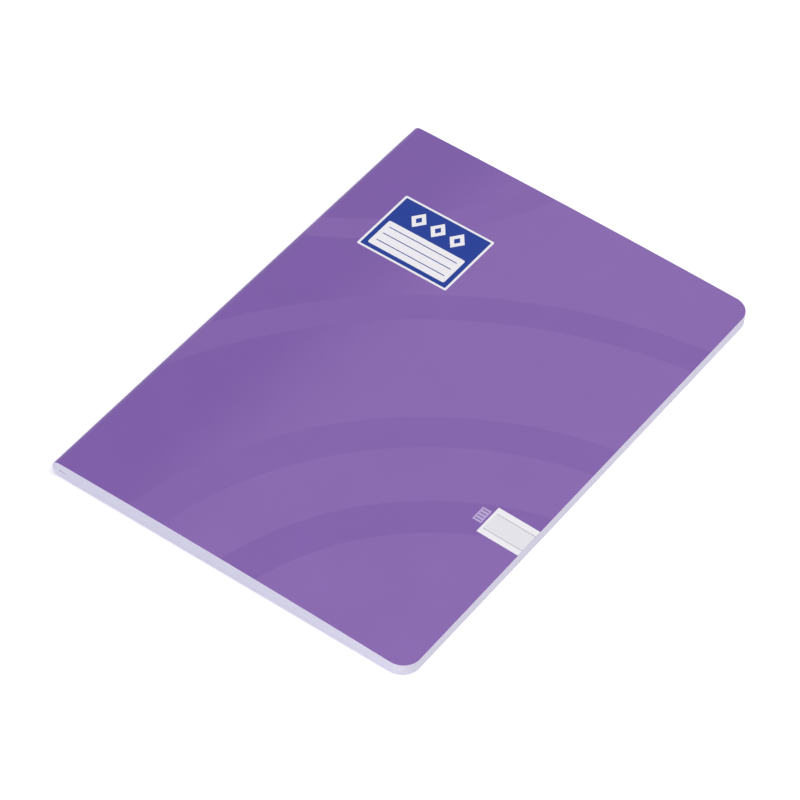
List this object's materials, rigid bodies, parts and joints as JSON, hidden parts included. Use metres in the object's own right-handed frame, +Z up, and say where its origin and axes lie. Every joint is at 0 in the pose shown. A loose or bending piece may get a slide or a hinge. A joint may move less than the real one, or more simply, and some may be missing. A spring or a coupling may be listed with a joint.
{
  "type": "notebook",
  "caption": "Stapled exercise book with a folded card cover, square spine corners and rounded fore-edge corners. The cover and the middle opening turn on the fold.",
  "frame": {"origin": "centre of the closed book's underside, on the surface that it lies on", "axes": "+X from the spine to the fore-edge, +Y from the tail to the head, +Z up through the front cover"},
  "size_m": [0.1485, 0.21, 0.0068],
  "materials": {
    "cover_card": "smooth laminated card, purple outside with a soft satin sheen",
    "paper": "uncoated wood-free writing paper, matt, faintly cool white",
    "staple_wire": "galvanised round wire, bright and slightly dull"
  },
  "bodies": {
    "back_half": {"back_cover": "cover_card", "back_leaf_01": "paper", "back_leaf_02": "paper", "back_leaf_03": "paper", "back_leaf_04": "paper", "back_leaf_05": "paper", "back_leaf_06": "paper", "back_leaf_07": "paper", "back_leaf_08": "paper", "back_leaf_09": "paper", "back_leaf_10": "paper", "back_leaf_11": "paper", "back_leaf_12": "paper", "back_leaf_13": "paper", "back_leaf_14": "paper", "back_leaf_15": "paper", "back_leaf_16": "paper", "back_leaf_17": "paper", "back_leaf_18": "paper"},
    "spine_fold": {"cover_spine": "cover_card", "fold_01": "paper", "fold_02": "paper", "fold_03": "paper", "fold_04": "paper", "fold_05": "paper", "fold_06": "paper", "fold_07": "paper", "fold_08": "paper", "fold_09": "paper", "fold_10": "paper", "fold_11": "paper", "fold_12": "paper", "fold_13": "paper", "fold_14": "paper", "fold_15": "paper", "fold_16": "paper", "fold_17": "paper", "fold_18": "paper", "staple_1": "staple_wire", "staple_2": "staple_wire"},
    "turning_leaf_01": {"front_leaf_01": "paper"},
    "turning_leaf_02": {"front_leaf_02": "paper"},
    "turning_leaf_03": {"front_leaf_03": "paper"},
    "turning_leaf_04": {"front_leaf_04": "paper"},
    "turning_leaf_05": {"front_leaf_05": "paper"},
    "turning_leaf_06": {"front_leaf_06": "paper"},
    "turning_leaf_07": {"front_leaf_07": "paper"},
    "turning_leaf_08": {"front_leaf_08": "paper"},
    "turning_leaf_09": {"front_leaf_09": "paper"},
    "turning_leaf_10": {"front_leaf_10": "paper"},
    "turning_leaf_11": {"front_leaf_11": "paper"},
    "turning_leaf_12": {"front_leaf_12": "paper"},
    "turning_leaf_13": {"front_leaf_13": "paper"},
    "turning_leaf_14": {"front_leaf_14": "paper"},
    "turning_leaf_15": {"front_leaf_15": "paper"},
    "turning_leaf_16": {"front_leaf_16": "paper"},
    "turning_leaf_17": {"front_leaf_17": "paper"},
    "turning_leaf_18": {"front_leaf_18": "paper"},
    "turning_cover": {"front_cover": "cover_card"}
  },
  "joints": [
    {"name": "spine_turn", "type": "hinge", "parent": "back_half", "child": "spine_fold", "pos_m": [-0.07039, 0, 0.00335], "axis": [0, -1, 0], "range_deg": [0, 89.5]},
    {"name": "centre_opening", "type": "hinge", "parent": "back_half", "child": "turning_leaf_01", "pos_m": [-0.07039, 0, 0.00335], "axis": [0, -1, 0], "range_deg": [0, 179]},
    {"name": "leaf_02_turn", "type": "hinge", "parent": "back_half", "child": "turning_leaf_02", "pos_m": [-0.07039, 0, 0.00335], "axis": [0, -1, 0], "range_deg": [0, 178.63]},
    {"name": "leaf_03_turn", "type": "hinge", "parent": "back_half", "child": "turning_leaf_03", "pos_m": [-0.07039, 0, 0.00335], "axis": [0, -1, 0], "range_deg": [0, 178.26]},
    {"name": "leaf_04_turn", "type": "hinge", "parent": "back_half", "child": "turning_leaf_04", "pos_m": [-0.07039, 0, 0.00335], "axis": [0, -1, 0], "range_deg": [0, 177.89]},
    {"name": "leaf_05_turn", "type": "hinge", "parent": "back_half", "child": "turning_leaf_05", "pos_m": [-0.07039, 0, 0.00335], "axis": [0, -1, 0], "range_deg": [0, 177.53]},
    {"name": "leaf_06_turn", "type": "hinge", "parent": "back_half", "child": "turning_leaf_06", "pos_m": [-0.07039, 0, 0.00335], "axis": [0, -1, 0], "range_deg": [0, 177.16]},
    {"name": "leaf_07_turn", "type": "hinge", "parent": "back_half", "child": "turning_leaf_07", "pos_m": [-0.07039, 0, 0.00335], "axis": [0, -1, 0], "range_deg": [0, 176.79]},
    {"name": "leaf_08_turn", "type": "hinge", "parent": "back_half", "child": "turning_leaf_08", "pos_m": [-0.07039, 0, 0.00335], "axis": [0, -1, 0], "range_deg": [0, 176.42]},
    {"name": "leaf_09_turn", "type": "hinge", "parent": "back_half", "child": "turning_leaf_09", "pos_m": [-0.07039, 0, 0.00335], "axis": [0, -1, 0], "range_deg": [0, 176.05]},
    {"name": "leaf_10_turn", "type": "hinge", "parent": "back_half", "child": "turning_leaf_10", "pos_m": [-0.07039, 0, 0.00335], "axis": [0, -1, 0], "range_deg": [0, 175.68]},
    {"name": "leaf_11_turn", "type": "hinge", "parent": "back_half", "child": "turning_leaf_11", "pos_m": [-0.07039, 0, 0.00335], "axis": [0, -1, 0], "range_deg": [0, 175.31]},
    {"name": "leaf_12_turn", "type": "hinge", "parent": "back_half", "child": "turning_leaf_12", "pos_m": [-0.07039, 0, 0.00335], "axis": [0, -1, 0], "range_deg": [0, 174.95]},
    {"name": "leaf_13_turn", "type": "hinge", "parent": "back_half", "child": "turning_leaf_13", "pos_m": [-0.07039, 0, 0.00335], "axis": [0, -1, 0], "range_deg": [0, 174.58]},
    {"name": "leaf_14_turn", "type": "hinge", "parent": "back_half", "child": "turning_leaf_14", "pos_m": [-0.07039, 0, 0.00335], "axis": [0, -1, 0], "range_deg": [0, 174.21]},
    {"name": "leaf_15_turn", "type": "hinge", "parent": "back_half", "child": "turning_leaf_15", "pos_m": [-0.07039, 0, 0.00335], "axis": [0, -1, 0], "range_deg": [0, 173.84]},
    {"name": "leaf_16_turn", "type": "hinge", "parent": "back_half", "child": "turning_leaf_16", "pos_m": [-0.07039, 0, 0.00335], "axis": [0, -1, 0], "range_deg": [0, 173.47]},
    {"name": "leaf_17_turn", "type": "hinge", "parent": "back_half", "child": "turning_leaf_17", "pos_m": [-0.07039, 0, 0.00335], "axis": [0, -1, 0], "range_deg": [0, 173.1]},
    {"name": "leaf_18_turn", "type": "hinge", "parent": "back_half", "child": "turning_leaf_18", "pos_m": [-0.07039, 0, 0.00335], "axis": [0, -1, 0], "range_deg": [0, 172.74]},
    {"name": "front_cover_turn", "type": "hinge", "parent": "turning_leaf_01", "child": "turning_cover", "pos_m": [-0.06827, 0, 0.00701], "axis": [0, -1, 0], "range_deg": [0, 179]}
  ],
  "couplings": [
    {"joint": "spine_turn", "follows": "centre_opening", "ratio": 0.5},
    {"joint": "leaf_02_turn", "follows": "centre_opening", "ratio": 0.99794},
    {"joint": "leaf_03_turn", "follows": "centre_opening", "ratio": 0.99588},
    {"joint": "leaf_04_turn", "follows": "centre_opening", "ratio": 0.99382},
    {"joint": "leaf_05_turn", "follows": "centre_opening", "ratio": 0.99176},
    {"joint": "leaf_06_turn", "follows": "centre_opening", "ratio": 0.98971},
    {"joint": "leaf_07_turn", "follows": "centre_opening", "ratio": 0.98765},
    {"joint": "leaf_08_turn", "follows": "centre_opening", "ratio": 0.98559},
    {"joint": "leaf_09_turn", "follows": "centre_opening", "ratio": 0.98353},
    {"joint": "leaf_10_turn", "follows": "centre_opening", "ratio": 0.98147},
    {"joint": "leaf_11_turn", "follows": "centre_opening", "ratio": 0.97941},
    {"joint": "leaf_12_turn", "follows": "centre_opening", "ratio": 0.97735},
    {"joint": "leaf_13_turn", "follows": "centre_opening", "ratio": 0.97529},
    {"joint": "leaf_14_turn", "follows": "centre_opening", "ratio": 0.97324},
    {"joint": "leaf_15_turn", "follows": "centre_opening", "ratio": 0.97118},
    {"joint": "leaf_16_turn", "follows": "centre_opening", "ratio": 0.96912},
    {"joint": "leaf_17_turn", "follows": "centre_opening", "ratio": 0.96706},
    {"joint": "leaf_18_turn", "follows": "centre_opening", "ratio": 0.965}
  ]
}
